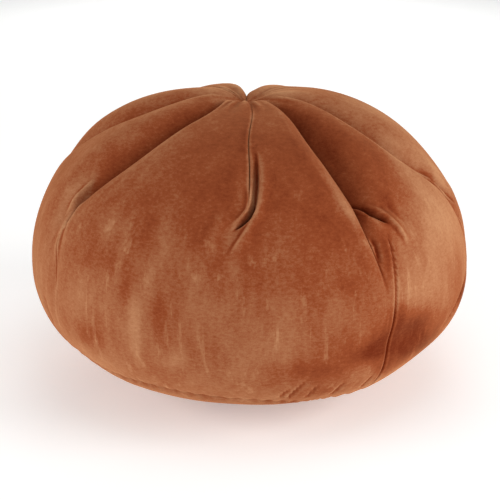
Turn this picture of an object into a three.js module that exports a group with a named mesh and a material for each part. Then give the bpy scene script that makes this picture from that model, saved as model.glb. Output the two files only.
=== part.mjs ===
// A filled velvet bun cushion. Its pleated body is drawn together at the top, closed by one
// side seam, and sewn along its lower edge to a round base panel.
// Millimetres, +Z up, resting on Z = 0, with the front toward -Y.
// A bearing runs from the front toward +X. A slope angle runs down the cushion's side:
// 0 is the gather at the top, 90 is the girth, and more than 90 is the belly.
import * as THREE from "three";

// Outer size and fullness.
const GIRTH_RADIUS = 250;
const GIRTH_HEIGHT = 127.4;
const CROWN_RISE = 191.4;
const BELLY_DROP = 139.4;
const CROWN_FULLNESS = 2.15;
const BELLY_FULLNESS = 2.29;
const CLOTH_COLOUR = 0x9c4f2d;

// The gather at the top, which stands a little off the middle.
const GATHER_DEPTH = 11;
const GATHER_RADIUS = 24;
const GATHER_ASIDE = -4.5;
const GATHER_SPREAD = 70;

// The seam around the base.
const BASE_SEAM_ANGLE = 122.4;
const BASE_SEAM_DEPTH = 3;
const BASE_SEAM_WIDTH = 5;

// The base panel and its clearance to the body.
const PANEL_THICKNESS = 2;
const CLEARANCE = 0.3;

// Slope angles at which the pleats' bearings and depths, and the widths of their rolls, are set.
const PATH_ANGLES = [3, 11, 25, 40, 52, 60, 70, 96];
const ROLL_ANGLES = [25, 48, 62];

// One row per pleat, in order of bearing:
// path and depth: bearing of its crease, and how far it lies below the lobes, at the path angles.
// A depth below 0 ends the crease before the next path angle.
// before and after: width of the roll on each side at the roll angles, as a share of its lobe
// tuck: how far the lobe before it leans over the crease, or the lobe after it if negative
// crest: how far the lobe after it swells out
// columns: of the surface across the lobe after it
const PLEATS = [
  {
    name: "front",
    path: [4, 4.4, -0.3, -0.2, -0.6, -4, -9, -6],
    depth: [0, 0.8, 5, 5, 1, 0, 0, 0],
    before: [0.015, 0.015, 0.03],
    after: [0.02, 0.02, 0.04],
    tuck: 0,
    crest: 2,
    columns: 19,
  },
  {
    name: "front right",
    path: [44, 38, 31, 31, 31.9, 31.9, 33, 35.8],
    depth: [1, 24, 44, 44, 27, 13, 6, -4],
    before: [0.3, 0.2, 0.09],
    after: [0.75, 0.36, 0.12],
    tuck: 8,
    crest: 2,
    columns: 18,
  },
  {
    name: "right",
    path: [86, 77, 65.5, 65, 70.5, 76.2, 80, 82],
    depth: [1, 20, 38, 38, 37, 28, 12, 0],
    before: [0.2, 0.18, 0.14],
    after: [0.34, 0.24, 0.12],
    tuck: 5,
    crest: 5,
    columns: 16,
  },
  {
    name: "back right",
    path: [138, 142, 146, 147, 148, 149, 150, 134],
    depth: [0, 0, 6, 20, 28, 26, 14, 0],
    before: [0.25, 0.25, 0.2],
    after: [0.45, 0.4, 0.3],
    tuck: 0,
    crest: -1,
    columns: 8,
  },
  {
    name: "back",
    path: [180, 180, 179, 177, 176, 175, 174, 177],
    depth: [4, 26, 32, 30, 26, 18, 6, 0],
    before: [0.62, 0.45, 0.3],
    after: [0.4, 0.4, 0.3],
    tuck: 0,
    crest: 1,
    columns: 11,
  },
  {
    name: "back left",
    path: [215, 228, 232, 230, 226, 223, 220, 222],
    depth: [1, 16, 30, 30, 26, 18, 6, 0],
    before: [0.5, 0.4, 0.3],
    after: [0.18, 0.18, 0.16],
    tuck: -5,
    crest: 7,
    columns: 12,
  },
  {
    name: "left",
    path: [265, 272, 278.5, 270.5, 265, 262, 262, 262],
    depth: [1, 14, 28, 22, 14, 6, 1, 0],
    before: [0.45, 0.45, 0.4],
    after: [0.16, 0.16, 0.14],
    tuck: -7,
    crest: 3,
    columns: 14,
  },
  {
    name: "front left",
    path: [308, 324, 318.5, 312, 305, 301.5, 300.5, 306],
    depth: [1, 24, 44, 44, 42, 30, 10, 0],
    before: [0.75, 0.5, 0.3],
    after: [0.13, 0.13, 0.12],
    tuck: -9,
    crest: 2,
    columns: 20,
  },
];

// Broad swells where the filling pushes out, and troughs where it sags in if negative:
// bearing and angle: the middle of the swell
// long and wide: its half sizes down and around the side, in degrees
const SWELLS = [
  { bearing: 30, angle: 120, long: 14, wide: 15, height: 5 },
  { bearing: 254, angle: 50, long: 12, wide: 12, height: 4 },
  { bearing: 54, angle: 128, long: 12, wide: 16, height: -2.5 },
  { bearing: 43, angle: 98, long: 8, wide: 12, height: -6 },
  { bearing: 300, angle: 122, long: 14, wide: 22, height: -2 },
  { bearing: 98, angle: 58, long: 16, wide: 26, height: -3 },
  { bearing: 150, angle: 96, long: 12, wide: 5, height: -4 },
  { bearing: 212, angle: 99, long: 12, wide: 5, height: -4 },
];

// How far the base seam wanders down from its mean slope angle, in degrees, by bearing.
const SEAM_WANDER = [
  { bearing: 0, down: 3 },
  { bearing: 12, down: 7.5 },
  { bearing: 25, down: 10 },
  { bearing: 40, down: 8.5 },
  { bearing: 60, down: 4.5 },
  { bearing: 90, down: 0.5 },
  { bearing: 150, down: -1 },
  { bearing: 220, down: 0 },
  { bearing: 270, down: -3 },
  { bearing: 300, down: -5.5 },
  { bearing: 320, down: -3.5 },
  { bearing: 335, down: -1 },
  { bearing: 350, down: 0.5 },
  { bearing: 360, down: 3 },
];

// Smaller folds, each along a line that runs downward from point to point:
// bearings and angles: of the line's points
// height: above the cushion's side, or below it if negative
// before and after: width of the fold toward lower and higher bearings
const FOLDS = [
  {
    name: "front strip",
    bearings: [2.2, 2.7, 2.4, 1.2, -1.2, -4.5],
    angles: [31, 36.5, 43.8, 51.8, 56, 59.2],
    height: -10,
    before: 4,
    after: 2,
  },
  {
    name: "front edge",
    bearings: [3.4, 4, 3.7, 2.8, 0.9, -2.2, -5.6],
    angles: [32, 37, 44, 50, 55, 60.8, 67.5],
    height: 3,
    before: 2.5,
    after: 8,
  },
  {
    name: "wedge under the first tuck",
    bearings: [33, 34, 35.5, 37.6, 40],
    angles: [51, 54.4, 57.2, 59.6, 61.8],
    height: -9,
    before: 3,
    after: 4,
  },
  {
    name: "arch over the tuck",
    bearings: [34.8, 36.6, 38.8, 40.8, 42.3, 43.4, 44.4],
    angles: [53, 56.4, 58.9, 61.6, 64.6, 67.4, 71],
    height: 4,
    before: 3,
    after: 5,
  },
  {
    name: "left tuck echo",
    bearings: [-60.5, -61.6, -60.4, -59.4, -58.4, -57.4],
    angles: [51, 58.5, 64.3, 70, 76, 82],
    height: 4,
    before: 8,
    after: 6,
  },
  {
    name: "right tuck echo",
    bearings: [75, 80, 83, 86, 88, 89],
    angles: [46, 52.5, 57, 62.5, 68, 73],
    height: 2,
    before: 4,
    after: 9,
  },
  {
    name: "right side crease",
    bearings: [81, 85, 86, 82, 75, 69.5, 62.5, 58],
    angles: [70, 76, 82, 87, 91, 95, 102, 106],
    height: -8,
    before: 5,
    after: 8,
  },
  {
    name: "side seam",
    bearings: [38, 38, 37.2, 36.4, 35.7],
    angles: [63, 71, 81, 93, 124],
    height: -2.5,
    before: 3,
    after: 3,
  },
];
const FOLD_ENDS = 0.3;
const FOLD_STEPS = 16;
const FOLD_REACH = 3;

// How strongly the columns bunch toward the pleats, on the crown and on the belly.
const CROWN_BUNCHING = 0.85;
const BELLY_BUNCHING = 0.4;
const EASES_FROM = 78;
const EASES_TO = 112;

// Slope angles of the rows of the surface.
const OUTER_ROWS = [
  3, 6, 9, 12.5, 16, 20, 24, 28, 32, 36, 40, 43.5, 47, 50, 53, 56, 59, 62, 65, 68, 71.5, 75,
  79, 83, 87, 91, 95, 99, 103, 107, 111, 115, 118.5, 121.5,
];
const UNDER_ROWS = [BASE_SEAM_ANGLE, 126, 131, 137, 144, 150];

const radians = (degrees) => degrees * Math.PI / 180;
const mix = (a, b, t) => a + (b - a) * t;
// How a rolled edge runs down into its crease, from a round edge at 0 to a softer one at 1, and
// the share of its lobe within which a tucked edge may lean over.
const ROLL_SOFTNESS = 0.35;
const LEAN_LIMIT = 0.3;

// Slope angles: where the lobes swell out most, how far that reaches up and down, and where it
// starts below the gather.
const CREST_ANGLE = 28;
const CREST_REACH = 22;
const CREST_START = 12;

// The slope angle below which the rows follow the wandering base seam.
const WANDERS_FROM = 92;

const limit = (x) => Math.min(1, Math.max(0, x));
const ease = (x) => limit(x) ** 2 * (3 - 2 * limit(x));
const bell = (x) => Math.exp(-x * x);

// Distance in degrees between two bearings, around the shorter way.
const turn = (a, b) => ((a - b + 900) % 360) - 180;

// Radius and height of the plain cushion, without its pleats, at a slope angle.
function dome(angle) {
  if (angle <= 90) {
    const power = 2 / CROWN_FULLNESS;
    return {
      r: GIRTH_RADIUS * Math.sin(radians(angle)) ** power,
      z: GIRTH_HEIGHT + CROWN_RISE * Math.max(0, Math.cos(radians(angle))) ** power,
    };
  }
  const power = 2 / BELLY_FULLNESS;
  return {
    r: GIRTH_RADIUS * Math.cos(radians(angle - 90)) ** power,
    z: GIRTH_HEIGHT - BELLY_DROP * Math.sin(radians(angle - 90)) ** power,
  };
}

// Outward direction of the plain cushion in its upright section.
function outward(angle) {
  const above = dome(Math.max(0.01, angle - 1));
  const below = dome(angle + 1);
  const dr = below.r - above.r;
  const dz = below.z - above.z;
  const length = Math.hypot(dr, dz);
  return { r: -dz / length, z: dr / length };
}

// The slope angle at which the plain cushion meets the floor.
function floorAngle() {
  const share = (GIRTH_HEIGHT / BELLY_DROP) ** (BELLY_FULLNESS / 2);
  return 90 + Math.asin(share) * 180 / Math.PI;
}

// Distance down the side from the gather, summed in short steps once for all slope angles.
const ARC_STEP = 0.5;
const LAST_ANGLE = 160;
const ARCS = [0];
for (let k = 1; k * ARC_STEP <= LAST_ANGLE; k += 1) {
  const from = dome((k - 1) * ARC_STEP);
  const to = dome(k * ARC_STEP);
  ARCS.push(ARCS[k - 1] + Math.hypot(to.r - from.r, to.z - from.z));
}
function arc(angle) {
  const k = Math.floor(angle / ARC_STEP);
  return mix(ARCS[k], ARCS[k + 1], angle / ARC_STEP - k);
}

// A smooth line through values at knots, level at both ends.
function smoothLine(knots, values, at) {
  const last = knots.length - 1;
  if (at <= knots[0]) return values[0];
  if (at >= knots[last]) return values[last];
  let k = 0;
  while (at > knots[k + 1]) k += 1;
  const slopeAt = (i) => {
    if (i === 0 || i === last) return 0;
    return (values[i + 1] - values[i - 1]) / (knots[i + 1] - knots[i - 1]);
  };
  const span = knots[k + 1] - knots[k];
  const t = (at - knots[k]) / span;
  const rise = values[k + 1] - values[k];
  const start = (1 - t) * (slopeAt(k) * span - rise);
  const end = t * (slopeAt(k + 1) * span - rise);
  return values[k] + rise * t + t * (1 - t) * (start - end);
}

// A pleat's crease and rolls at a slope angle.
function pleatAt(pleat, angle) {
  const deepest = Math.max(...pleat.depth);
  const depth = Math.max(0, smoothLine(PATH_ANGLES, pleat.depth, angle));
  return {
    bearing: smoothLine(PATH_ANGLES, pleat.path, angle),
    depth,
    before: smoothLine(ROLL_ANGLES, pleat.before, angle),
    after: smoothLine(ROLL_ANGLES, pleat.after, angle),
    tuck: pleat.tuck * depth / deepest,
  };
}

// How far a rolled lobe edge lies below its lobe: 1 in the crease and 0 at the end of the roll.
function roll(x) {
  const rest = 1 - limit(x);
  const round = 1 - Math.sqrt(1 - rest * rest);
  return mix(round, rest * rest, ROLL_SOFTNESS);
}

// How far a tucked edge leans over its crease, with its largest value 1.
const lean = (x) => 6.75 * limit(x) * (1 - limit(x)) ** 2;

function swellHeight(bearing, angle) {
  let height = 0;
  for (const swell of SWELLS) {
    const across = turn(bearing, swell.bearing) / swell.wide;
    const along = (angle - swell.angle) / swell.long;
    height += swell.height * bell(across) * bell(along);
  }
  return height;
}

// A slope angle moved so that the row of the base seam wanders.
function wandered(angle, bearing) {
  const around = (bearing + 360) % 360;
  let k = 0;
  while (k + 2 < SEAM_WANDER.length && around > SEAM_WANDER[k + 1].bearing) k += 1;
  const from = SEAM_WANDER[k];
  const to = SEAM_WANDER[k + 1];
  const down = mix(from.down, to.down, (around - from.bearing) / (to.bearing - from.bearing));
  if (angle < BASE_SEAM_ANGLE) {
    return angle + down * ease((angle - WANDERS_FROM) / (BASE_SEAM_ANGLE - WANDERS_FROM));
  }
  return angle + down * (1 - ease((angle - BASE_SEAM_ANGLE) / (floorAngle() - BASE_SEAM_ANGLE)));
}

// A fold's line in short steps, as bearings and distances down the side.
function foldSteps(fold) {
  const steps = [];
  const last = fold.angles.length - 1;
  for (let k = 0; k <= FOLD_STEPS; k += 1) {
    const at = k / FOLD_STEPS * last;
    const i = Math.min(last - 1, Math.floor(at));
    const angle = mix(fold.angles[i], fold.angles[i + 1], at - i);
    steps.push({ bearing: mix(fold.bearings[i], fold.bearings[i + 1], at - i), down: arc(angle) });
  }
  return steps;
}
const FOLD_LINES = FOLDS.map(foldSteps);

// Height of the folds at a surface point, by its distance to each fold's line.
function foldHeight(bearing, angle, radius) {
  let height = 0;
  FOLDS.forEach((fold, f) => {
    const line = FOLD_LINES[f];
    const reach = FOLD_REACH * Math.max(fold.before, fold.after);
    let best = { distance: reach, side: 0, along: 0 };
    for (let k = 0; k < FOLD_STEPS; k += 1) {
      const x0 = radius * radians(turn(line[k].bearing, bearing));
      const x1 = radius * radians(turn(line[k + 1].bearing, bearing));
      const y0 = line[k].down - arc(angle);
      const dx = x1 - x0;
      const dy = line[k + 1].down - line[k].down;
      const t = limit(-(x0 * dx + y0 * dy) / (dx * dx + dy * dy));
      const distance = Math.hypot(x0 + t * dx, y0 + t * dy);
      if (distance < best.distance) {
        best = { distance, side: dy * x0 - dx * y0, along: (k + t) / FOLD_STEPS };
      }
    }
    const width = best.side > 0 ? fold.before : fold.after;
    const ends = ease(best.along / FOLD_ENDS) * ease((1 - best.along) / FOLD_ENDS);
    if (best.distance < reach) height += fold.height * ends * bell(best.distance / width);
  });
  return height;
}

// One surface point in a lobe: place is its column's place from the lobe's first pleat to its
// next one. inset moves it into the cushion, as a cloth's inner face lies inside its outer one.
function surfacePoint(lobe, place, level, inset) {
  const first = pleatAt(PLEATS[lobe], level);
  const next = pleatAt(PLEATS[(lobe + 1) % PLEATS.length], level);
  const to = next.bearing + (lobe + 1 === PLEATS.length ? 360 : 0);
  const lower = ease((level - EASES_FROM) / (EASES_TO - EASES_FROM));
  const spread = mix(CROWN_BUNCHING, BELLY_BUNCHING, lower);
  const share = place - spread * Math.sin(2 * Math.PI * place) / (2 * Math.PI);

  const width = dome(level).r * radians(to - first.bearing);
  let shift = Math.min(0, first.tuck) * lean(share / first.after);
  shift += Math.max(0, next.tuck) * lean((1 - share) / next.before);
  shift = Math.max(-LEAN_LIMIT * width, Math.min(LEAN_LIMIT * width, shift));

  const plainBearing = mix(first.bearing, to, share);
  const angle = wandered(level, plainBearing);
  const plain = dome(angle);
  const out = outward(angle);
  const bearing = plainBearing + shift / Math.max(1, plain.r) * 180 / Math.PI;

  let depth = first.depth * roll(share / first.after) + next.depth * roll((1 - share) / next.before);
  const swelling = bell((level - CREST_ANGLE) / CREST_REACH) * ease(level / CREST_START);
  depth -= PLEATS[lobe].crest * Math.sin(Math.PI * share) * swelling;
  depth += GATHER_DEPTH * bell(plain.r / GATHER_RADIUS);
  depth += BASE_SEAM_DEPTH * bell((arc(level) - arc(BASE_SEAM_ANGLE)) / BASE_SEAM_WIDTH);
  depth -= swellHeight(bearing, angle) + foldHeight(bearing, angle, plain.r);

  const r = plain.r - out.r * (depth + inset);
  const z = plain.z - out.z * (depth + inset);
  const aside = GATHER_ASIDE * bell(plain.r / GATHER_SPREAD);
  return [r * Math.sin(radians(bearing)) + aside, -r * Math.cos(radians(bearing)), z];
}

// A ring of surface points all the way around.
function ring(level, inset = 0, lift = 0) {
  const points = [];
  PLEATS.forEach((pleat, lobe) => {
    for (let k = 0; k < pleat.columns; k += 1) {
      const [x, y, z] = surfacePoint(lobe, k / pleat.columns, level, inset);
      points.push([x, y, z + lift]);
    }
  });
  return points;
}

// The contact ring on the floor, at a height of its own.
function flatRing(height) {
  return ring(floorAngle()).map(([x, y]) => [x, y, height]);
}

// A closed body from rings that run down its outside, with a point at each end.
function closedBody(top, rings, bottom) {
  const count = rings[0].length;
  const points = [top, ...rings.flat(), bottom];
  const faces = [];
  const at = (row, column) => 1 + row * count + column % count;
  for (let c = 0; c < count; c += 1) {
    faces.push([0, at(0, c), at(0, c + 1)]);
    for (let row = 0; row + 1 < rings.length; row += 1) {
      faces.push([at(row, c), at(row + 1, c), at(row + 1, c + 1)]);
      faces.push([at(row, c), at(row + 1, c + 1), at(row, c + 1)]);
    }
    faces.push([at(rings.length - 1, c), points.length - 1, at(rings.length - 1, c + 1)]);
  }
  const geometry = new THREE.BufferGeometry();
  geometry.setAttribute("position", new THREE.Float32BufferAttribute(points.flat(), 3));
  geometry.setIndex(faces.flat());
  geometry.computeVertexNormals();
  return geometry;
}

const velvet = new THREE.MeshStandardMaterial({ color: CLOTH_COLOUR, roughness: 0.85, metalness: 0 });

// The pleated body: the outside down to the seam, a step in over the panel's rim, and the
// underside that the panel covers.
function bodyGeometry() {
  const inside = PANEL_THICKNESS + CLEARANCE;
  const rings = OUTER_ROWS.map((level) => ring(level));
  rings.push(ring(BASE_SEAM_ANGLE, 0, CLEARANCE));
  rings.push(ring(BASE_SEAM_ANGLE, inside, CLEARANCE));
  UNDER_ROWS.slice(1).forEach((level) => rings.push(ring(level, inside)));
  rings.push(flatRing(inside));
  const crown = dome(0).z - GATHER_DEPTH;
  return closedBody([GATHER_ASIDE, 0, crown], rings, [0, 0, inside]);
}

// The base panel: its inner face, its rim at the seam, and its outer face, flat on the floor.
function panelGeometry() {
  const rings = [flatRing(PANEL_THICKNESS)];
  [...UNDER_ROWS].reverse().forEach((level) => rings.push(ring(level, PANEL_THICKNESS)));
  UNDER_ROWS.forEach((level) => rings.push(ring(level)));
  rings.push(flatRing(0));
  return closedBody([0, 0, PANEL_THICKNESS], rings, [0, 0, 0]);
}

const body = new THREE.Mesh(bodyGeometry(), velvet);
body.name = "bun_body";
const panel = new THREE.Mesh(panelGeometry(), velvet);
panel.name = "base_panel";

const cushion = new THREE.Group();
cushion.name = "bun_cushion";
cushion.add(body, panel);

export default cushion;
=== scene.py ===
import math

import bmesh
import bpy
import numpy as np
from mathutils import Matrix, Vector


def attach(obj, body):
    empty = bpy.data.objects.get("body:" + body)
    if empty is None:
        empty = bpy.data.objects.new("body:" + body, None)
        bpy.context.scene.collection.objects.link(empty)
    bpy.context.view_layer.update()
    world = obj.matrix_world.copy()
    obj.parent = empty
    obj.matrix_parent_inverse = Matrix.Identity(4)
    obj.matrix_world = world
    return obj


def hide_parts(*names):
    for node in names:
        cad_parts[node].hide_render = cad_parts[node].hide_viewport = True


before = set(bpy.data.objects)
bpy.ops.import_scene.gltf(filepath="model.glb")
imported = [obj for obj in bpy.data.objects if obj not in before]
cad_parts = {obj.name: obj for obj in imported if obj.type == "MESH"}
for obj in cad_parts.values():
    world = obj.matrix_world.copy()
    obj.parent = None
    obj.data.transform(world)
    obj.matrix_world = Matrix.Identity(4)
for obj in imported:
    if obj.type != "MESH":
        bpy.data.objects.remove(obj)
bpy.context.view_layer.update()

bl_info = {
    "name": "Bun cushion",
    "version": (1, 0, 0),
    "blender": (4, 5, 0),
    "location": "View3D > Sidebar > Bun cushion",
    "description": "Makes a pleated velvet bun cushion with its base panel, and a plain studio",
    "category": "Add Mesh",
}

MM = 0.001

# A bearing runs from the front (-Y) toward +X. A slope angle runs down the cushion's side:
# 0 is the gather at the top, 90 is the girth, and more than 90 is the belly. Both in degrees.
# Lengths in the tables are in millimetres.
GIRTH_ANGLE = 90
PATH_ANGLES = (3, 11, 25, 40, 52, 60, 70, 96)
ROLL_ANGLES = (25, 48, 62)

# The way down the side is measured between these slope angles, and the outward direction
# across a nearby step each way.
FIRST_ANGLE = 0.01
LAST_ANGLE = 160
ARC_STEPS = 1600
NEARBY = 1

# A rolled edge is round, with a share of softness. A tucked edge leans over by at most this
# share of its lobe's width.
ROLL_SOFTNESS = 0.35
LEAN_LIMIT = 0.3

# Where the lobes swell out most, how far that reaches, and by where it has started.
CREST_ANGLE = 28
CREST_REACH = 22
CREST_START = 12

# One row per pleat, in order of bearing. path, depth: the bearing and the depth of its crease
# at each of the path angles. A depth below 0 ends the crease before the next path angle.
# before, after: width of the roll on each side at each of the roll angles, as a share of that
# side's lobe. tuck: how far the lobe before it leans over the crease, or the lobe after it if
# negative. crest: how far the lobe after it swells out. columns: of the surface across the
# lobe after it.
PLEAT_COLUMNS = ("name", "path", "depth", "before", "after", "tuck", "crest", "columns")
PLEATS = (
    ("front",
     (4, 4.4, -0.3, -0.2, -0.6, -4, -9, -6), (0, 0.8, 5, 5, 1, 0, 0, 0),
     (0.01, 0.012, 0.03), (0.016, 0.02, 0.04), 0, 2, 88),
    ("front right",
     (44, 38, 31, 31, 31.9, 31.9, 33, 35.8), (1, 24, 44, 44, 27, 13, 6, -4),
     (0.3, 0.2, 0.09), (0.75, 0.36, 0.12), 8, 2, 88),
    ("right",
     (86, 77, 65.5, 65, 70.5, 76.2, 80, 82), (1, 20, 38, 38, 37, 28, 12, 0),
     (0.2, 0.18, 0.14), (0.34, 0.24, 0.12), 5, 5, 72),
    ("back right",
     (138, 142, 146, 147, 148, 149, 150, 134), (0, 0, 6, 20, 28, 26, 14, 0),
     (0.25, 0.25, 0.2), (0.45, 0.4, 0.3), 0, -1, 32),
    ("back",
     (180, 180, 179, 177, 176, 175, 174, 177), (4, 26, 32, 30, 26, 18, 6, 0),
     (0.62, 0.45, 0.3), (0.4, 0.4, 0.3), 0, 1, 40),
    ("back left",
     (215, 228, 232, 230, 226, 223, 220, 222), (1, 16, 30, 30, 26, 18, 6, 0),
     (0.5, 0.4, 0.3), (0.18, 0.18, 0.16), -5, 7, 48),
    ("left",
     (265, 272, 278.5, 270.5, 265, 262, 262, 262), (1, 14, 28, 22, 14, 6, 1, 0),
     (0.45, 0.45, 0.4), (0.16, 0.16, 0.14), -7, 3, 64),
    ("front left",
     (308, 324, 318.5, 312, 305, 301.5, 300.5, 306), (1, 24, 44, 44, 42, 30, 10, 0),
     (0.75, 0.5, 0.3), (0.13, 0.13, 0.12), -9, 2, 96),
)

# Broad swells where the filling pushes out, and troughs where it sags in if negative.
# long, wide: half sizes in degrees.
SWELL_COLUMNS = ("bearing", "angle", "long", "wide", "height")
SWELLS = (
    (30, 120, 14, 15, 5),
    (254, 50, 12, 12, 4),
    (54, 128, 12, 16, -2.5),
    (43, 98, 8, 12, -6),
    (300, 122, 14, 22, -2),
    (98, 58, 16, 26, -3),
    (150, 96, 12, 5, -4),
    (212, 99, 12, 5, -4),
)

# How far the base seam wanders down from its mean slope angle, in degrees, by bearing, and
# the slope angle from which the cloth follows it.
WANDERS_FROM = 92
SEAM_WANDER = (
    (0, 3), (12, 7.5), (25, 10), (40, 8.5), (60, 4.5), (90, 0.5), (150, -1), (220, 0), (270, -3),
    (300, -5.5), (320, -3.5), (335, -1), (350, 0.5), (360, 3),
)

# Small folds in the cloth, each along a line of (bearing, slope angle) points that runs
# downward. height: above the cushion's side, or below it if negative. before, after: width
# of the fold toward lower and higher bearings. starts, ends: share of the line over which the
# fold grows and fades.
FOLD_COLUMNS = ("name", "line", "height", "before", "after", "starts", "ends")
FOLDS = (
    ("front strip",
     ((2.2, 31), (2.7, 36.5), (2.6, 40.5), (2.4, 43.8), (1.9, 48), (1.2, 51.8), (0, 54.5),
      (-2.2, 57), (-4.5, 59.2)), -9, 3.5, 1.6, 0.35, 0.25),
    ("front ribbon",
     ((0.7, 42.5), (0.1, 46.5), (-0.1, 50), (-0.8, 52.8), (-2.5, 55), (-5.2, 57.4)),
     3.5, 2, 1.8, 0.3, 0.3),
    ("front hole",
     ((2.2, 46), (1.7, 50), (0.9, 52.5), (-0.3, 55), (-2.9, 57.5), (-4.8, 59.3)),
     -7, 1.3, 1.1, 0.35, 0.3),
    ("front edge",
     ((3.4, 32), (4, 37), (3.7, 44), (2.8, 50), (0.9, 55), (-0.8, 58.2), (-2.2, 60.8),
      (-4, 64), (-5.6, 67.5)), 3.2, 1.6, 8, 0.3, 0.25),
    ("left of the front hole", ((-6.5, 52), (-9.7, 60), (-11, 66)), 2.5, 8, 9, 0.3, 0.3),
    ("wedge under the first tuck",
     ((33, 51), (34, 54.4), (35.5, 57.2), (37.6, 59.6), (40, 61.8)), -15, 1.5, 3, 0.4, 0.35),
    ("lip under the first tuck",
     ((30.4, 49.6), (31.6, 52.2), (33, 55), (34.4, 58.4), (36.6, 61), (39.2, 63.2)),
     7, 7, 1.5, 0.1, 0.7),
    ("arch over the tuck",
     ((34.8, 53), (36.6, 56.4), (38.8, 58.9), (40.8, 61.6), (42.3, 64.6), (43.4, 67.4), (44.4, 71)),
     5, 1.8, 4, 0.3, 0.4),
    ("trough beyond the arch", ((41, 55.5), (43.2, 58), (45.2, 61), (46.6, 65)), -2.5, 4, 6, 0.3, 0.4),
    ("flap crease", ((33, 63.5), (33.9, 67), (33.9, 70.5), (33.6, 74)), -2.5, 2, 2.5, 0.3, 0.4),
    ("left tuck echo",
     ((-60.5, 51), (-61.6, 58.5), (-60.4, 64.3), (-59.4, 70), (-58.4, 76), (-57.4, 82)),
     5, 7, 4, 0.3, 0.3),
    ("left tuck pinch",
     ((-61.5, 50), (-61.6, 53), (-62, 57), (-62.3, 61), (-62.5, 66)), 3.5, 2.2, 2, 0.3, 0.5),
    ("left tuck end", ((-55.6, 57), (-56.6, 61), (-56.8, 66), (-57, 72)), 2, 2.5, 5, 0.3, 0.4),
    ("right tuck crease",
     ((72, 45), (76.2, 51), (79.6, 56), (81.8, 61), (83.4, 66), (85, 71)),
     -8, 2.5, 3, 0.6, 0.3),
    ("right tuck echo",
     ((76, 46), (81, 52.5), (84, 57), (87, 62.5), (89, 68), (90, 73)), 1, 3, 9, 0.3, 0.3),
    ("right side crease",
     ((81, 70), (85, 76), (86, 82), (82, 87), (75, 91), (69.5, 95), (66, 98.5),
      (62.5, 102), (58, 106)), -9, 3, 8, 0.2, 0.25),
    ("left side dent", ((-66, 91), (-64, 98), (-62, 106)), -2.5, 7, 7, 0.3, 0.3),
    ("side seam",
     ((38, 63), (38.1, 68.5), (37.9, 72), (37.4, 78.5), (37, 84), (36.6, 90), (36.1, 96),
      (35.7, 102), (35.6, 128)), -2.4, 1.3, 1.5, 0.15, 0.05),
    ("first pucker", ((12.2, 111.4), (10.3, 115), (9, 118), (8.4, 122.5)), -1.8, 1.8, 2.8, 0.7, 0.1),
    ("second pucker",
     ((16.3, 104), (13.5, 111), (11.6, 117.4), (10.6, 123.5)), -2.4, 1.8, 3, 0.7, 0.1),
    ("third pucker", ((18.9, 110.6), (16.9, 114.7), (15.6, 123.5)), -1.8, 1.8, 2.6, 0.7, 0.1),
    ("fourth pucker", ((25.7, 111), (23.8, 115), (22.8, 122.5)), -2.2, 1.8, 2.8, 0.7, 0.1),
    ("fifth pucker", ((33.5, 111), (32.5, 114), (31.2, 120)), -2, 1.8, 2.6, 0.7, 0.1),
)

# These lie on the lobe after the front right pleat alone, behind the lobe that is tucked over.
TUCKED_LOBE = 1
FOLDS_BEHIND_THE_FIRST_TUCK = (
    "wedge under the first tuck", "lip under the first tuck", "arch over the tuck",
    "trough beyond the arch", "flap crease",
)

# A fold's line is walked in this many points. It counts within this many widths of the line
# up and down, and this many degrees beside it.
FOLD_POINTS = 28
FOLD_REACH = 3.2
FOLD_MARGIN = 14

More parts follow.
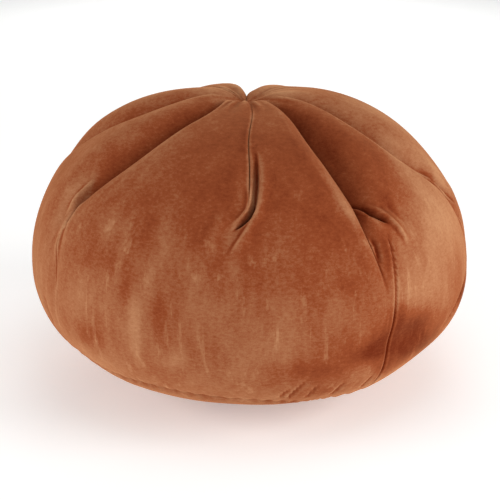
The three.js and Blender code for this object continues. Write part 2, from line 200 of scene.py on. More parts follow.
# Soft spots of tone, pale or dark if negative, in order of bearing: partly the pile's own
# crushed patches, partly painted sheen highlights and painted shade in hollows and under folds.
# long, wide: half sizes in degrees.
PATCH_COLUMNS = ("bearing", "angle", "long", "wide", "tone")
PATCHES = (
    (-65, 12, 3, 12, -0.5),
    (-64.5, 61, 12, 4, 0.6),
    (-63, 60, 6, 5, 0.4),
    (-62, 56, 7, 1.6, 0.9),
    (-59, 70, 14, 6, 0.45),
    (-52, 98, 12, 12, 0.2),
    (-46, 87, 8, 4, 0.4),
    (-43, 98, 7, 8, -0.7),
    (-40, 61, 8, 5, 0.6),
    (-35, 73, 6, 5, -0.4),
    (-33.5, 69, 11, 1.3, 0.5),
    (-30, 80, 5, 3, -0.4),
    (-28, 92, 14, 1.6, 0.8),
    (-23, 60, 9, 4, 0.35),
    (-23, 70, 14, 5, 0.5),
    (-21.5, 84, 7, 2.2, -0.5),
    (-19, 101, 4, 4, 0.4),
    (-17, 97, 5, 3, 0.35),
    (-16, 67, 4, 5, 0.35),
    (-14, 77, 12, 6, 0.35),
    (-11, 94, 7, 4, -0.35),
    (-9, 62, 6, 1.6, 0.2),
    (-5, 61, 4, 2, 0.5),
    (-5, 88, 8, 5, 0.1),
    (-4, 70, 5, 2, 0.4),
    (-3, 46, 6, 2, 0.4),
    (-2, 28, 7, 3, -0.5),
    (0, 6, 3.5, 50, 0.6),
    (0, 22, 12, 8, -0.25),
    (1, 49, 4, 1.5, 0.8),
    (6, 110, 5, 5, -0.4),
    (9, 103, 6, 7, -0.6),
    (10, 75, 8, 8, -0.25),
    (14, 36, 16, 9, -0.2),
    (17, 118, 4, 14, -0.4),
    (19, 104, 6, 6, -0.45),
    (21, 83, 4, 9, -0.1),
    (21, 94, 6, 6, -0.4),
    (22, 77, 3, 4, -0.35),
    (25, 69, 6, 4, 0.35),
    (28, 46, 12, 3, 0.6),
    (29, 55, 5, 2, 0.6),
    (30, 100, 4, 5, -0.9),
    (35, 34, 8, 2, 0.5),
    (35.5, 56.5, 2.5, 2.5, -0.9),
    (36, 95, 4, 6, -0.4),
    (36, 111, 6, 3, -0.5),
    (37, 69, 6, 2, -0.5),
    (37, 74, 8, 2, -0.4),
    (38, 89, 4, 4, -0.9),
    (38.5, 60, 1.5, 1.5, -0.8),
    (40, 99, 7, 10, -1.8),
    (40, 110, 5, 6, -0.6),
    (41.5, 56, 5, 3, -0.6),
    (45, 64, 5, 3, 0.5),
    (45.5, 104, 5, 5, -0.9),
    (46, 120, 5, 12, 0.2),
    (47, 93, 5, 6, -0.7),
    (50, 34, 12, 10, -0.6),
    (50, 82, 12, 9, 0.6),
    (54, 109, 7, 8, -1.3),
    (56, 68, 8, 6, 0.4),
    (60, 43, 10, 4, 0.5),
    (62, 86, 8, 6, -0.2),
    (62, 98, 6, 7, -0.5),
    (64, 66, 16, 12, 0.8),
    (66, 28, 10, 5, 0.5),
    (67, 87, 8, 3, -0.4),
    (75, 44, 9, 5, 1.1),
    (75, 97, 5, 5, -1.4),
    (78, 23, 6, 8, 0.5),
    (79, 58, 3, 2, -0.9),
    (84, 57, 8, 3.5, 0.8),
    (94, 36, 16, 18, 0.7),
    (120, 8, 5, 40, 0.9),
    (205, 7, 5, 60, 0.9),
)

# How far the painted shade on the front of the crown reaches, the slope angles between which
# the tone turns pale with painted sheen and pile brushed down, and the depth at which the
# painted shade in a pleat's hollow is darkest.
FRONT_SPREAD = 60
PALE_FROM = 62
PALE_TO = 96
DEEP_HOLLOW = 30 * MM

# The cloth's bend is measured this far to each side, for the painted sheen highlight (partly wear)
# on sharp edges and the painted shade in creases. A bend this sharp counts in full, and around
# the gather the bends count less and less.
RIDGE_REACH = 3 * MM
SHARP_BEND = 0.3
RIDGES_FROM = 20 * MM
RIDGES_TO = 50 * MM

# Waves in the cloth. around: how many go around the cushion. down: how far they turn on the
# way down. start: where they begin. size: their share of the height.
WAVE_COLUMNS = ("around", "down", "start", "size")
DRIFT_WAVES = ((3, 0, 1, 1), (7, 0, 4, 0.6))
UNEVEN_WAVES = ((5, 2, 1, 1 / 3), (9, -3, 2, 1 / 3), (13, 5, 0, 1 / 3))
UNEVEN_FROM = 15
UNEVEN_TO = 45

# The wrinkles around the gather: how many, how far they drift, their slope angle and reach,
# and their mean strength with the waves that change it.
WRINKLES = 19
WRINKLE_DRIFT = 2.4
WRINKLE_ANGLE = 8
WRINKLE_REACH = 6
WRINKLE_STRENGTH = 0.6
WRINKLE_WAVES = ((5, 0, 2, 0.4),)

# The puckers along the base seam: how many, how far they drift and reach, the bearing where
# they are strongest, how far that spreads, and their strength elsewhere.
PUCKERS = 83
PUCKER_DRIFT = 4
PUCKER_REACH = 10 * MM
PUCKER_BEARING = 27
PUCKER_SPREAD = 24
PUCKER_STRENGTH = 0.35

# How closely the columns bunch toward the pleats on the crown and on the belly, and the slope
# angles between which that changes.
CROWN_BUNCHING = 0.85
BELLY_BUNCHING = 0.4
BUNCHED_TO = 78
EVEN_FROM = 112


def rows_of(columns, table):
    """The table's rows with their columns named."""
    return [dict(zip(columns, row)) for row in table]


def ease(x):
    """0 below 0 and 1 above 1, with a smooth rise between."""
    x = np.clip(x, 0, 1)
    return x * x * (3 - 2 * x)


def rising(x, start, end):
    """0 before the start and 1 after the end, with a smooth rise between."""
    return ease((x - start) / (end - start))


def bell(x):
    """1 in the middle, fading on both sides."""
    return np.exp(-x * x)


def turned(bearing, middle):
    """How far each bearing lies from the middle one, from -180 to 180 degrees."""
    return (bearing - middle + 180) % 360 - 180


def waves(table, bearing, angle):
    """Sum of a table's waves, at bearings and slope angles in radians."""
    total = np.zeros_like(bearing)
    for wave in rows_of(WAVE_COLUMNS, table):
        turn = wave["around"] * bearing + wave["down"] * angle + wave["start"]
        total += wave["size"] * np.sin(turn)
    return total


def smooth_line(knots, values, at):
    """A smooth line through values at knots, level at both ends."""
    knots, values = np.asarray(knots, float), np.asarray(values, float)
    slopes = np.zeros_like(values)
    slopes[1:-1] = (values[2:] - values[:-2]) / (knots[2:] - knots[:-2])
    at = np.clip(at, knots[0], knots[-1])
    k = np.clip(np.searchsorted(knots, at, side="right") - 1, 0, len(knots) - 2)
    span = knots[k + 1] - knots[k]
    t = (at - knots[k]) / span
    rise = values[k + 1] - values[k]
    bend = t * (1 - t) * ((1 - t) * (slopes[k] * span - rise) - t * (slopes[k + 1] * span - rise))
    return values[k] + rise * t + bend


def nearest_on_line(px, py, scale, line_x, line_y):
    """How far points lie from a line, on which side of it, and how far along it from 0 to 1."""
    best = np.full(px.shape, np.inf)
    side, along = np.zeros_like(best), np.zeros_like(best)
    last = len(line_y) - 1
    for k in range(last):
        x0, y0 = scale * line_x[k], line_y[k]
        dx, dy = scale * line_x[k + 1] - x0, line_y[k + 1] - y0
        t = np.clip(((px - x0) * dx + (py - y0) * dy) / (dx * dx + dy * dy), 0, 1)
        ex, ey = px - (x0 + t * dx), py - (y0 + t * dy)
        distance = np.hypot(ex, ey)
        closer = distance < best
        best = np.where(closer, distance, best)
        side = np.where(closer, dx * ey - dy * ex, side)
        along = np.where(closer, (k + t) / last, along)
    return best, side, along


class BunSurface:
    """The outer face of the cushion, from its sizes and the tables of pleats and folds."""

    def __init__(self, sizes):
        self.sizes = sizes
        self.pleats = rows_of(PLEAT_COLUMNS, PLEATS)
        self.swells = rows_of(SWELL_COLUMNS, SWELLS)
        self.folds = rows_of(FOLD_COLUMNS, FOLDS)
        self.patches = rows_of(PATCH_COLUMNS, PATCHES)
        self.arc_angles = np.linspace(FIRST_ANGLE, LAST_ANGLE, ARC_STEPS)
        r, z = self.dome(self.arc_angles)
        self.arcs = np.concatenate([[0], np.cumsum(np.hypot(np.diff(r), np.diff(z)))])
        counts = [pleat["columns"] for pleat in self.pleats]
        self.lobe = np.repeat(np.arange(len(counts)), counts)
        self.place = np.concatenate([np.arange(count) / count for count in counts])
        # A lobe leans back over the pleat before it, or on over the pleat after it.
        tuck = np.array([pleat["tuck"] / max(pleat["depth"]) for pleat in self.pleats])
        self.tuck_back = np.minimum(tuck, 0)[self.lobe]
        self.tuck_on = np.maximum(np.roll(tuck, -1), 0)[self.lobe]
        self.crest = MM * np.array([pleat["crest"] for pleat in self.pleats])[self.lobe]

    def dome(self, angle):
        """Radius and height of the plain cushion, without its pleats."""
        s = self.sizes
        angle = np.asarray(angle, float)
        crown, belly = 2 / s.crown_fullness, 2 / s.belly_fullness
        on_crown = angle <= GIRTH_ANGLE
        up = np.radians(np.minimum(angle, GIRTH_ANGLE))
        down = np.radians(np.maximum(angle, GIRTH_ANGLE) - GIRTH_ANGLE)
        r = s.girth_radius * np.where(on_crown, np.sin(up) ** crown, np.cos(down) ** belly)
        rise = s.crown_rise * np.maximum(0, np.cos(up)) ** crown
        drop = s.belly_drop * np.sin(down) ** belly
        return r, s.girth_height + np.where(on_crown, rise, -drop)

    def outward(self, angle):
        """Outward direction of the plain cushion in its upright section."""
        r0, z0 = self.dome(np.maximum(FIRST_ANGLE, angle - NEARBY))
        r1, z1 = self.dome(angle + NEARBY)
        length = np.hypot(r1 - r0, z1 - z0)
        return -(z1 - z0) / length, (r1 - r0) / length

    def floor_angle(self):
        """Slope angle at which the belly meets the floor."""
        s = self.sizes
        share = (s.girth_height / s.belly_drop) ** (s.belly_fullness / 2)
        return GIRTH_ANGLE + math.degrees(math.asin(share))

    def arc(self, angle):
        """Distance down the side from the gather."""
        return np.interp(angle, self.arc_angles, self.arcs)

    @staticmethod
    def roll(x):
        """How far a rolled edge lies below its lobe: 1 in the crease, 0 at the roll's end."""
        rest = 1 - np.clip(x, 0, 1)
        round_edge = 1 - np.sqrt(1 - rest * rest)
        return (1 - ROLL_SOFTNESS) * round_edge + ROLL_SOFTNESS * rest * rest

    @staticmethod
    def lean(x):
        """How far a tucked edge leans over its crease: 1 a third of the way across its roll."""
        x = np.clip(x, 0, 1)
        largest = 1 / 3 * (1 - 1 / 3) ** 2
        return x * (1 - x) ** 2 / largest

    @staticmethod
    def spots(table, field, bearing, angle):
        """Sum of a table's soft spots, each with its own size and strength."""
        total = np.zeros_like(bearing)
        for spot in table:
            across = turned(bearing, spot["bearing"]) / spot["wide"]
            along = (angle - spot["angle"]) / spot["long"]
            total += spot[field] * bell(across) * bell(along)
        return total

    def wandered(self, angle, bearing):
        """Slope angles moved so that the row of the base seam wanders."""
        bearings, moves = np.array(SEAM_WANDER, float).T
        wander = np.interp(bearing % 360, bearings, moves)
        mean, floor = self.sizes.seam_angle, self.floor_angle()
        above = rising(angle, WANDERS_FROM, mean)
        below = 1 - rising(angle, mean, floor)
        return angle + wander * np.where(angle < mean, above, below)

    def wrinkles(self, bearing, angle, level):
        """Small radial wrinkles at the gather, puckers along the base seam, and unevenness."""
        s = self.sizes
        b, a = np.radians(bearing), np.radians(angle)
        drift = waves(DRIFT_WAVES, b, a)
        strength = WRINKLE_STRENGTH + waves(WRINKLE_WAVES, b, a)
        gather = strength * np.cos(WRINKLES * b + WRINKLE_DRIFT * drift)
        height = s.gather_wrinkles * gather * bell((angle - WRINKLE_ANGLE) / WRINKLE_REACH)
        from_seam = self.arc(level) - self.arc(s.seam_angle)
        strongest = bell(turned(bearing, PUCKER_BEARING) / PUCKER_SPREAD)
        strength = PUCKER_STRENGTH + (1 - PUCKER_STRENGTH) * strongest
        puckers = strength * np.cos(PUCKERS * b + PUCKER_DRIFT * drift)
        height += s.seam_puckers * puckers * bell(from_seam / PUCKER_REACH)
        height += s.unevenness * waves(UNEVEN_WAVES, b, a) * rising(angle, UNEVEN_FROM, UNEVEN_TO)
        return height * (1 - rising(level, s.seam_angle, self.floor_angle()))

    def fold_height(self, bearing, angle, radius):
        """Height of the small folds, from each point's distance to their lines."""
        height = np.zeros_like(bearing)
        y = self.arc(angle)
        for fold in self.folds:
            knots = np.arange(len(fold["line"]))
            steps = np.linspace(0, knots[-1], FOLD_POINTS)
            b, a = (np.interp(steps, knots, values) for values in zip(*fold["line"]))
            line_y = self.arc(a)
            reach = FOLD_REACH * MM * max(fold["before"], fold["after"])
            turn = turned(bearing, b.mean())
            near = np.abs(turn) < np.ptp(b) / 2 + FOLD_MARGIN
            near &= (y > line_y.min() - reach) & (y < line_y.max() + reach)
            if fold["name"] in FOLDS_BEHIND_THE_FIRST_TUCK:
                near &= self.lobe == TUCKED_LOBE
            if not near.any():
                continue
            scale = radius[near]
            px = scale * np.radians(turn[near] + b.mean())
            distance, side, along = nearest_on_line(px, y[near], scale, np.radians(b), line_y)
            width = MM * np.where(side > 0, fold["before"], fold["after"])
            ends = ease(along / fold["starts"]) * ease((1 - along) / fold["ends"])
            height[near] += fold["height"] * MM * ends * bell(distance / width)
        return height

    def by_column(self, field, row):
        """A pleat field at each row's slope angle, for the pleats before and after a column."""
        lines = np.stack([smooth_line(PATH_ANGLES, p[field], row) for p in self.pleats], 1)
        following = np.roll(lines, -1, axis=1)
        if field == "path":
            following[:, -1] += 360
        return lines[:, self.lobe], following[:, self.lobe]

    def roll_shares(self, row):
        """Widths of the rolls on a column's two sides, as shares of its lobe."""
        after = np.stack([smooth_line(ROLL_ANGLES, p["after"], row) for p in self.pleats], 1)
        before = np.stack([smooth_line(ROLL_ANGLES, p["before"], row) for p in self.pleats], 1)
        return after[:, self.lobe], np.roll(before, -1, axis=1)[:, self.lobe]

    def shares(self, level):
        """Places of the columns across their lobes from 0 to 1, bunched toward the pleats."""
        change = (CROWN_BUNCHING - BELLY_BUNCHING) * rising(level, BUNCHED_TO, EVEN_FROM)
        bunching = CROWN_BUNCHING - change
        return self.place - bunching * np.sin(2 * math.pi * self.place) / (2 * math.pi)

    def grid(self, angle, inset=0.0):
        """Surface points on rings at the slope angles, and the tone at each: the pile's own tone with
        painted shade and painted sheen.
        """
        s = self.sizes
        row = np.asarray(angle, float)
        level = row[:, None]
        share = self.shares(level)
        start, end = self.by_column("path", row)
        deep, deep_next = (MM * np.maximum(0, depth) for depth in self.by_column("depth", row))
        after, before = self.roll_shares(row)
        from_start, to_end = share / after, (1 - share) / before

        width = self.dome(level)[0] * np.radians(end - start)
        shift = self.tuck_back * deep * self.lean(from_start)
        shift += self.tuck_on * deep_next * self.lean(to_end)
        shift = np.clip(shift, -LEAN_LIMIT * width, LEAN_LIMIT * width)
        plain_bearing = start + (end - start) * share
        angle = self.wandered(level, plain_bearing)
        r, z = self.dome(angle)
        out_r, out_z = self.outward(angle)
        bearing = plain_bearing + np.degrees(shift / np.maximum(r, MM))

        hollow = deep * self.roll(from_start) + deep_next * self.roll(to_end)
        swell = bell((level - CREST_ANGLE) / CREST_REACH) * ease(level / CREST_START)
        from_seam = self.arc(level) - self.arc(s.seam_angle)
        depth = hollow - self.crest * np.sin(math.pi * share) * swell
        depth += s.gather_depth * bell(r / s.gather_radius)
        depth += s.seam_depth * bell(from_seam / s.seam_width)
        depth -= MM * self.spots(self.swells, "height", bearing, angle)
        depth -= self.fold_height(bearing, angle, r)
        depth -= self.wrinkles(bearing, angle, level)

        turn = np.radians(bearing)
        away = r - out_r * (depth + inset)
        high = z - out_z * (depth + inset)
        aside = s.gather_aside * bell(r / s.gather_spread)
        points = np.stack([away * np.sin(turn) + aside, -away * np.cos(turn), high], -1)
        normals = np.stack([out_r * np.sin(turn), -out_r * np.cos(turn), out_z], -1)
        # Painted sheen highlight, partly worn pile, on sharp edges and painted shade in creases.
        ridges = self.ridges(points, normals) * rising(r, RIDGES_FROM, RIDGES_TO)
        # Painted shade: the tone is darker the deeper a pleat's hollow is.
        tone = self.pile_and_painted_light(bearing, angle) - s.painted_hollow_shade * np.clip(hollow / DEEP_HOLLOW, 0, 1)
        return points, np.clip(tone, -1, 1) + s.ridge_wear_sheen_and_crease_shade * ridges

    @staticmethod
    def ridges(points, normals):
        """How sharply the cloth bends along its rows: 1 on a ridge, -1 in a crease."""
        steps = np.linalg.norm(np.roll(points, -1, axis=1) - points, axis=2)
        along = np.cumsum(steps, axis=1) - steps
        middle = np.zeros_like(points)
        for row, place in enumerate(along):
            period = steps[row].sum()
            for axis in range(3):
                line = points[row, :, axis]
                for side in (-RIDGE_REACH, RIDGE_REACH):
                    beside = np.interp(place + side, place, line, period=period)
                    middle[row, :, axis] += beside / 2
        bend = ((points - middle) * normals).sum(-1) / RIDGE_REACH
        return np.clip(bend / SHARP_BEND, -1, 1)

    def pile_and_painted_light(self, bearing, angle):
        """Tone from -1 to 1: painted shade on the front of the crown that faces the camera, painted
        sheen on the crown's sides, paler below with painted sheen and pile brushed down, and the
        spots.
        """
        s = self.sizes
        front = bell(turned(bearing, 0) / FRONT_SPREAD)
        below = rising(angle, PALE_FROM, PALE_TO)
        crown = s.painted_side_sheen * (1 - front) - s.painted_front_shade * front
        tone = s.lower_sheen_and_pile * below + crown * (1 - below)
        return np.clip(tone + self.spots(self.patches, "tone", bearing, angle), -1, 1)


def closed_mesh(name, top, rings, bottom, tones):
    """A closed mesh from rings that run down its outside, with a point at each end."""
    rows, count = rings.shape[:2]
    points = np.concatenate([[top], rings.reshape(-1, 3), [bottom]])
    index = 1 + np.arange(rows * count).reshape(rows, count)
    beside = np.roll(index, -1, axis=1)
    quads = np.stack([index[:-1], index[1:], beside[1:], beside[:-1]], -1).reshape(-1, 4)
    caps = [(0, int(a), int(b)) for a, b in zip(index[0], beside[0])]
    caps += [(int(a), len(points) - 1, int(b)) for a, b in zip(index[-1], beside[-1])]
    mesh = bpy.data.meshes.new(name)
    mesh.from_pydata(points.tolist(), [], quads.tolist() + caps)
    mesh.update()
    mesh.shade_smooth()
    tone = np.concatenate([[tones.flat[0]], tones.ravel(), [tones.flat[-1]]])
    mesh.attributes.new("pile_and_painted_light", "FLOAT", "POINT").data.foreach_set("value", tone)
    piece = bpy.data.objects.new(name, mesh)
    bpy.context.scene.collection.objects.link(piece)
    return piece


class Rings:
    """Rings of surface points, with the tone at each, painted shade and painted sheen included."""

    def __init__(self, surface):
        self.surface = surface
        self.points, self.tones = [], []

    def add(self, angles, inset=0.0, lift=0.0, level=None):
        """Adds the rings at the angles, drawn in, lifted, or laid level at a height."""
        points, tones = self.surface.grid(angles, inset)
        points[:, :, 2] += lift
        if level is not None:
            points[:, :, 2] = level
        self.points.append(points)
        self.tones.append(tones)

    def mesh(self, name, top, bottom):
        """The rings joined into one closed piece."""
        points, tones = np.concatenate(self.points), np.concatenate(self.tones)
        return closed_mesh(name, top, points, bottom, tones)


class BunCushionSizes(bpy.types.PropertyGroup):
    """Sizes and colours of the bun cushion."""

    girth_radius: bpy.props.FloatProperty(
        name="Girth radius", description="Half of the cushion's width",
        default=0.250, min=0.1, unit="LENGTH")
    girth_height: bpy.props.FloatProperty(
        name="Girth height", description="Height of the widest ring above the floor",
        default=0.1274, min=0.02, unit="LENGTH")
    crown_rise: bpy.props.FloatProperty(
        name="Crown rise", description="Height of the crown above the girth",
        default=0.1914, min=0.02, unit="LENGTH")
    belly_drop: bpy.props.FloatProperty(
        name="Belly drop", description="How far the round belly would reach below the girth",
        default=0.1394, min=0.02, unit="LENGTH")
    crown_fullness: bpy.props.FloatProperty(
        name="Crown fullness", description="2 is a plain ellipse, and more is fuller",
        default=2.15, min=1.5, max=4)
    belly_fullness: bpy.props.FloatProperty(
        name="Belly fullness", description="2 is a plain ellipse, and more is fuller",
        default=2.29, min=1.5, max=4)
    gather_depth: bpy.props.FloatProperty(
        name="Gather depth", description="How far the gather is drawn in",
        default=0.011, min=0, unit="LENGTH")
    gather_radius: bpy.props.FloatProperty(
        name="Gather radius", description="Size of the hollow around the gather",
        default=0.024, min=0.001, unit="LENGTH")
    gather_aside: bpy.props.FloatProperty(
        name="Gather aside", description="How far the gather stands off the middle",
        default=-0.0045, unit="LENGTH")
    gather_spread: bpy.props.FloatProperty(
        name="Gather spread", description="Radius within which the gather pulls the cloth aside",
        default=0.070, min=0.001, unit="LENGTH")
    gather_wrinkles: bpy.props.FloatProperty(
        name="Gather wrinkles", description="Height of the wrinkles around the gather",
        default=0.0014, min=0, unit="LENGTH")
    seam_puckers: bpy.props.FloatProperty(
        name="Seam puckers", description="Height of the puckers along the base seam",
        default=0.0013, min=0, unit="LENGTH")
    unevenness: bpy.props.FloatProperty(
        name="Unevenness", description="Height of the broad unevenness of the cloth",
        default=0.0010, min=0, unit="LENGTH")
    seam_angle: bpy.props.FloatProperty(
        name="Base seam", description="Slope angle of the seam around the base, in degrees",
        default=122.4, min=95, max=145)
    seam_depth: bpy.props.FloatProperty(
        name="Base seam depth", description="How far the seam draws the cloth in",
        default=0.003, min=0, unit="LENGTH")
    seam_width: bpy.props.FloatProperty(
        name="Base seam width", description="Half width of the groove along the seam",
        default=0.0035, min=0.001, unit="LENGTH")
    panel_thickness: bpy.props.FloatProperty(
        name="Panel thickness", description="Thickness of the velvet base panel",
        default=0.002, min=0.001, unit="LENGTH")
    clearance: bpy.props.FloatProperty(
        name="Clearance", description="Gap between the body and the base panel",
        default=0.0003, min=0, unit="LENGTH")
    # Paler lower half: painted sheen, partly the pile brushed down.
    lower_sheen_and_pile: bpy.props.FloatProperty(
        name="Pale below", description="How pale the pile lies on the lower half",
        default=0.45, min=0, max=1)
    # Painted sheen on the sides of the crown.
    painted_side_sheen: bpy.props.FloatProperty(
        name="Pale side", description="How pale the pile lies on the sides of the crown",
        default=0.25, min=0, max=1)
    # Painted shade on the front of the crown.
    painted_front_shade: bpy.props.FloatProperty(
        name="Dark front", description="How dark the pile lies on the front of the crown",
        default=0.12, min=0, max=1)
    # Painted shade: how much darker the tone is painted down in the pleats' hollows.
    painted_hollow_shade: bpy.props.FloatProperty(
        name="Dark hollows", description="How dark the pile lies down in the pleats",
        default=0.8, min=0, max=2)
    # Painted sheen highlight, partly wear, on sharp edges, and painted shade in creases.
    ridge_wear_sheen_and_crease_shade: bpy.props.FloatProperty(
        name="Pale ridges", description="How pale the pile is on sharp edges, and how dark in creases",
        default=0.65, min=0, max=2)
    # Painted shade: the dark end of the ramp, reached in hollows, creases and dark spots, as well as
    # on pile brushed dark.
    dark_pile_and_shade: bpy.props.FloatVectorProperty(
        name="Dark pile", description="Colour of the pile brushed dark",
        subtype="COLOR", size=3, default=(0.13, 0.014, 0.003), min=0, max=1)
    pile_colour: bpy.props.FloatVectorProperty(
        name="Pile colour", description="Colour of the pile in between",
        subtype="COLOR", size=3, default=(0.27, 0.060, 0.020), min=0, max=1)
    # Painted sheen: the pale end of the ramp, reached on edges, sides and below, as well as on pile
    # brushed pale.
    pale_pile_and_sheen: bpy.props.FloatVectorProperty(
        name="Pale pile", description="Colour of the pile brushed pale",
        subtype="COLOR", size=3, default=(0.47, 0.218, 0.106), min=0, max=1)
    sheen_colour: bpy.props.FloatVectorProperty(
        name="Sheen colour", description="Colour of the velvet pile seen from its side",
        subtype="COLOR", size=3, default=(1.0, 0.50, 0.24), min=0, max=1)


def cushion_sizes():
    """The sizes and colours that are set in the sidebar."""
    return bpy.context.scene.bun_cushion


# How the noises of the pile are drawn out: a smaller scale along an axis draws them longer.
STRETCH_COLUMNS = ("name", "label", "scale")
STRETCHES = (
    ("brushed", "Brushed down the side", (1.0, 1.0, 0.28)),
    ("scuffed", "Scuffed down the side", (1.0, 1.0, 0.13)),
    ("woven", "Flecks along the weave", (0.5, 0.5, 1.0)),
)

# The noises of the pile. follows: the stretch that each follows, or plain. share: of the tone.
NOISE_COLUMNS = ("name", "scale", "detail", "roughness", "follows", "share")
NOISES = (
    ("crushed patches", 16.0, 4.0, 0.55, "brushed", 0.48),
    ("brush streaks", 95.0, 4.0, 0.65, "brushed", 0.2),
    ("crushed flecks", 420.0, 3.0, 0.7, "woven", 0.34),
    ("scuffs", 84.0, 4.0, 0.65, "scuffed", 1.0),
    ("pile fibres", 900.0, 2.0, 0.6, "plain", 0.18),
)
TONE_SHARE = 0.27

# Scuffs show from the weak strength and in full from the strong one. They fade out upward
# between two heights, and add at most this much tone.
SCUFF_WEAK, SCUFF_STRONG = 0.58, 0.75
SCUFFS_END, SCUFFS_FULL = 270 * MM, 190 * MM
SCUFF_TONE = 0.22

# Where the pile's three colours stand along the tone; the dark and pale ends also render painted shade
# and painted sheen.
DARK_AT, MIDDLE_AT, PALE_AT = 0.32, 0.6, 0.94

PILE_ROUGHNESS = 0.9
SHEEN_WEIGHT = 0.42
SHEEN_ROUGHNESS = 0.45
BUMP_STRENGTH = 0.25
NAP_DEPTH = 1.5 * MM
GRAIN_DEPTH = 0.4 * MM


class Shader:
    """A material's nodes, each made with its label, what goes into it and its settings."""

    def __init__(self, name):
        self.material = bpy.data.materials.new(name)
        self.material.use_nodes = True
        self.material.node_tree.nodes.clear()

    def node(self, kind, label, inputs, **settings):
        """A node whose inputs are linked from sockets or set to plain values."""
        tree = self.material.node_tree
        made = tree.nodes.new(kind)
        made.label = label
        for name, value in settings.items():
            setattr(made, name, value)
        for name, value in inputs.items():
            if isinstance(value, bpy.types.NodeSocket):
                tree.links.new(value, made.inputs[name])
            else:
                made.inputs[name].default_value = value
        return made

    def math(self, label, operation, *numbers):
        """A sum or product of sockets and plain numbers."""
        inputs = dict(enumerate(numbers))
        return self.node("ShaderNodeMath", label, inputs, operation=operation).outputs["Value"]

    def between(self, label, value, start, end, most=1.0):
        """0 where the value is at its start, up to the most where it is at its end."""
        inputs = {"Value": value, "From Min": start, "From Max": end, "To Max": most}
        return self.node("ShaderNodeMapRange", label, inputs).outputs["Result"]

    def bump(self, label, height, distance, **below):
        """A relief in the pile, laid on the normal below it if one is given."""
        inputs = {"Height": height, "Strength": BUMP_STRENGTH, "Distance": distance, **below}
        return self.node("ShaderNodeBump", label, inputs).outputs["Normal"]


def pile_noises(shader, place):
    """Each noise of the pile by its name, with only the strongest scuffs, low on the cushion."""
    followed = {"plain": place}
    for row in rows_of(STRETCH_COLUMNS, STRETCHES):
        inputs = {"Vector": place, "Scale": row["scale"]}
        stretch = shader.node("ShaderNodeMapping", row["label"], inputs)
        followed[row["name"]] = stretch.outputs["Vector"]
    noises = {}
    for row in rows_of(NOISE_COLUMNS, NOISES):
        inputs = {"Vector": followed[row["follows"]], "Scale": row["scale"],
                  "Detail": row["detail"], "Roughness": row["roughness"]}
        noise = shader.node("ShaderNodeTexNoise", row["name"].capitalize(), inputs)
        noises[row["name"]] = noise.outputs["Fac"]
    strong = shader.between("Only the strongest scuffs", noises["scuffs"], SCUFF_WEAK, SCUFF_STRONG)
    parts = shader.node("ShaderNodeSeparateXYZ", "Height on the cushion", {"Vector": place})
    low = shader.between("Scuffs fade out toward the gather", parts.outputs["Z"],
                         SCUFFS_END, SCUFFS_FULL, SCUFF_TONE)
    noises["scuffs"] = shader.math("Scuffed pile", "MULTIPLY", strong, low)
    return noises


def make_velvet(sizes):
    """Short crushed velvet pile: dark face on, pale at grazing angles, brushed in streaks, with
    painted shade and painted sheen from the tone attribute in its colour.
    """
    shader = Shader("rust_velvet")
    place = shader.node("ShaderNodeTexCoord", "Place on the cushion", {}).outputs["Object"]
    tone = shader.node("ShaderNodeAttribute", "Pile tone and painted light", {}, attribute_name="pile_and_painted_light")
    noises = pile_noises(shader, place)
    # The tone attribute holds the pile's tone with painted shade in hollows, creases and on the front,
    # and painted sheen on edges, sides and below.
    lie = shader.math("Tone in the middle", "MULTIPLY", tone.outputs["Fac"], TONE_SHARE)
    for row in rows_of(NOISE_COLUMNS, NOISES):
        label = "With " + row["name"]
        lie = shader.math(label, "MULTIPLY_ADD", noises[row["name"]], row["share"], lie)

    colour = shader.node("ShaderNodeValToRGB", "Pile colour", {"Fac": lie})
    ramp = colour.color_ramp.elements
    ramp.new(MIDDLE_AT)
    shades = ((DARK_AT, sizes.dark_pile_and_shade), (MIDDLE_AT, sizes.pile_colour), (PALE_AT, sizes.pale_pile_and_sheen))
    for shade, (position, pile) in zip(ramp, shades):
        shade.position = position
        shade.color = (*pile, 1)

    nap = shader.bump("Nap", noises["brush streaks"], NAP_DEPTH)
    grain = shader.bump("Pile grain", noises["pile fibres"], GRAIN_DEPTH, Normal=nap)
    cloth = shader.node("ShaderNodeBsdfPrincipled", "Pile", {
        "Base Color": colour.outputs["Color"],
        "Normal": grain,
        "Roughness": PILE_ROUGHNESS,
        "Specular IOR Level": 0.0,
        "Sheen Weight": SHEEN_WEIGHT,
        "Sheen Roughness": SHEEN_ROUGHNESS,
        "Sheen Tint": (*sizes.sheen_colour, 1),
    })
    shader.node("ShaderNodeOutputMaterial", "Velvet", {"Surface": cloth.outputs["BSDF"]})
    return shader.material


def velvet():
    """The velvet of both pieces, made once."""
    return bpy.data.materials.get("rust_velvet") or make_velvet(cushion_sizes())


# Rows of the crown: slope angles from and to, and how many, closer where the tucks are.
CROWN_ROWS = ((1.2, 43, 44), (43, 72, 60), (72, 86, 15))

# How many rows the belly and the dished rim under it have, and how many degrees before the
# seam and before the floor they end.
BELLY_ROWS = 54
UNDER_ROWS = 10
BEFORE_THE_SEAM = 0.4
BEFORE_THE_FLOOR = 1.5


def crown_angles():
    parts = [np.linspace(top, low, rows, endpoint=False) for top, low, rows in CROWN_ROWS]
    return np.concatenate(parts)


def belly_angles(sizes):
    return np.linspace(CROWN_ROWS[-1][1], sizes.seam_angle - BEFORE_THE_SEAM, BELLY_ROWS)


def under_angles(sizes, surface):
    return np.linspace(sizes.seam_angle, surface.floor_angle() - BEFORE_THE_FLOOR, UNDER_ROWS)


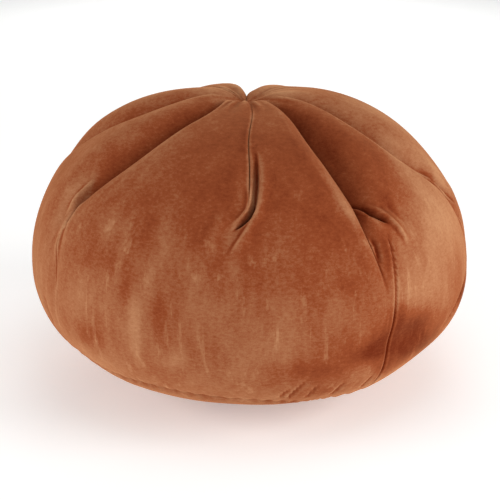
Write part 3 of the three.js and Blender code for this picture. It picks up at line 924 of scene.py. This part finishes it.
class BUN_OT_body(bpy.types.Operator):
    """Makes the filled velvet body with its pleats, gather and seams"""

    bl_idname = "bun.body"
    bl_label = "Pleated body"

    def execute(self, context):
        sizes = cushion_sizes()
        surface = BunSurface(sizes)
        inside = sizes.panel_thickness + sizes.clearance
        rings = Rings(surface)
        rings.add(np.concatenate([crown_angles(), belly_angles(sizes)]))
        rings.add([sizes.seam_angle], lift=sizes.clearance)
        rings.add([sizes.seam_angle], inset=inside, lift=sizes.clearance)
        rings.add(under_angles(sizes, surface)[1:], inset=inside)
        rings.add([surface.floor_angle()], level=inside)
        top = (sizes.gather_aside, 0, surface.dome(0)[1] - sizes.gather_depth)
        body = rings.mesh("velvet_body", top, (0, 0, inside))
        body.data.materials.append(velvet())
        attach(body, "root")
        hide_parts("bun_body")
        return {"FINISHED"}


class BUN_OT_base_panel(bpy.types.Operator):
    """Makes the round velvet base panel, flat below and dished up to its seam"""

    bl_idname = "bun.base_panel"
    bl_label = "Base panel"

    def execute(self, context):
        sizes = cushion_sizes()
        surface = BunSurface(sizes)
        under = under_angles(sizes, surface)
        floor = surface.floor_angle()
        rings = Rings(surface)
        rings.add([floor], level=sizes.panel_thickness)
        rings.add(under[::-1], inset=sizes.panel_thickness)
        rings.add(under)
        rings.add([floor], level=0)
        panel = rings.mesh("velvet_base_panel", (0, 0, sizes.panel_thickness), (0, 0, 0))
        panel.data.materials.append(velvet())
        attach(panel, "root")
        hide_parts("base_panel")
        across = 2 * (surface.arc(floor) - surface.arc(sizes.seam_angle))
        across += 2 * float(surface.dome(floor)[0])
        return {"FINISHED"}


# The studio: the camera's height angle, distance and aim, and one row per soft light.
CAMERA_RISE = 20.0
CAMERA_DISTANCE = 1.612
CAMERA_AIM = 0.1318
CAMERA_LENS = 100.0
SENSOR_WIDTH = 36.0
LIGHT_COLUMNS = ("name", "place", "power", "across")
LIGHTS = (
    ("overhead_softbox", (0.3, 0.0, 2.2), 8.0, 1.6),
    ("right_softbox", (2.0, -0.6, 0.9), 28.0, 1.3),
    ("left_softbox", (-2.0, -0.5, 0.7), 20.0, 1.3),
    ("low_softbox", (0.2, -2.2, 0.35), 9.0, 1.0),
    ("back_softbox", (0.0, 2.4, 1.0), 12.0, 1.2),
)
FLOOR_SIZE = 6
WHITE = (1, 1, 1, 1)
PAPER_COLOUR = (0.92, 0.92, 0.91, 1)
PAPER_ROUGHNESS = 0.9
PAPER_GLOW = 0.3
ROOM_LIGHT = 0.3


def make_floor(scene):
    """The plain pale paper that the cushion stands on."""
    grid = bmesh.new()
    bmesh.ops.create_grid(grid, x_segments=1, y_segments=1, size=FLOOR_SIZE)
    mesh = bpy.data.meshes.new("studio_floor")
    grid.to_mesh(mesh)
    grid.free()
    floor = bpy.data.objects.new("studio_floor", mesh)
    scene.collection.objects.link(floor)
    paper = bpy.data.materials.new("pale_paper")
    paper.use_nodes = True
    shade = paper.node_tree.nodes["Principled BSDF"]
    shade.inputs["Base Color"].default_value = PAPER_COLOUR
    shade.inputs["Roughness"].default_value = PAPER_ROUGHNESS
    shade.inputs["Emission Color"].default_value = WHITE
    shade.inputs["Emission Strength"].default_value = PAPER_GLOW
    mesh.materials.append(paper)


def light_studio(scene):
    """The room's even light and the soft lights, each aimed at the cushion."""
    world = bpy.data.worlds.new("studio_light")
    world.use_nodes = True
    background = world.node_tree.nodes["Background"]
    background.inputs["Color"].default_value = WHITE
    background.inputs["Strength"].default_value = ROOM_LIGHT
    scene.world = world
    scene.view_settings.view_transform = "Standard"
    for row in rows_of(LIGHT_COLUMNS, LIGHTS):
        light = bpy.data.lights.new(row["name"], "AREA")
        light.energy = row["power"]
        light.shape = "DISK"
        light.size = row["across"]
        lamp = bpy.data.objects.new(row["name"], light)
        lamp.location = row["place"]
        aim = Vector((0, 0, CAMERA_AIM)) - lamp.location
        lamp.rotation_euler = aim.to_track_quat("-Z", "Y").to_euler()
        scene.collection.objects.link(lamp)


def place_camera(scene):
    """The camera in front of the cushion, looking down at it."""
    view = bpy.data.cameras.new("studio_camera")
    view.lens = CAMERA_LENS
    view.sensor_width = SENSOR_WIDTH
    camera = bpy.data.objects.new("studio_camera", view)
    rise = math.radians(CAMERA_RISE)
    away, up = CAMERA_DISTANCE * math.cos(rise), CAMERA_DISTANCE * math.sin(rise)
    camera.location = (0, -away, CAMERA_AIM + up)
    camera.rotation_euler = (math.pi / 2 - rise, 0, 0)
    scene.collection.objects.link(camera)
    scene.camera = camera


class BUN_OT_studio(bpy.types.Operator):
    """Makes the plain pale floor, the soft lights and the camera"""

    bl_idname = "bun.studio"
    bl_label = "Studio"

    def execute(self, context):
        make_floor(context.scene)
        light_studio(context.scene)
        place_camera(context.scene)
        return {"FINISHED"}


class BUN_PT_panel(bpy.types.Panel):
    """Lists the bun cushion's pieces in the 3D view's sidebar"""

    bl_idname = "BUN_PT_panel"
    bl_label = "Bun cushion"
    bl_space_type = "VIEW_3D"
    bl_region_type = "UI"
    bl_category = "Bun cushion"

    def draw(self, context):
        sizes = context.scene.bun_cushion
        for name in sizes.bl_rna.properties.keys():
            if name not in ("rna_type", "name"):
                self.layout.prop(sizes, name)
        for operator in OPERATORS:
            self.layout.operator(operator.bl_idname)


OPERATORS = (BUN_OT_body, BUN_OT_base_panel, BUN_OT_studio)
CLASSES = (BunCushionSizes, *OPERATORS, BUN_PT_panel)


def register():
    for cls in CLASSES:
        bpy.utils.register_class(cls)
    bpy.types.Scene.bun_cushion = bpy.props.PointerProperty(type=BunCushionSizes)


def unregister():
    del bpy.types.Scene.bun_cushion
    for cls in reversed(CLASSES):
        bpy.utils.unregister_class(cls)


def main():
    register()
    bpy.ops.bun.body()
    bpy.ops.bun.base_panel()
    bpy.ops.bun.studio()


if __name__ == "__main__":
    main()
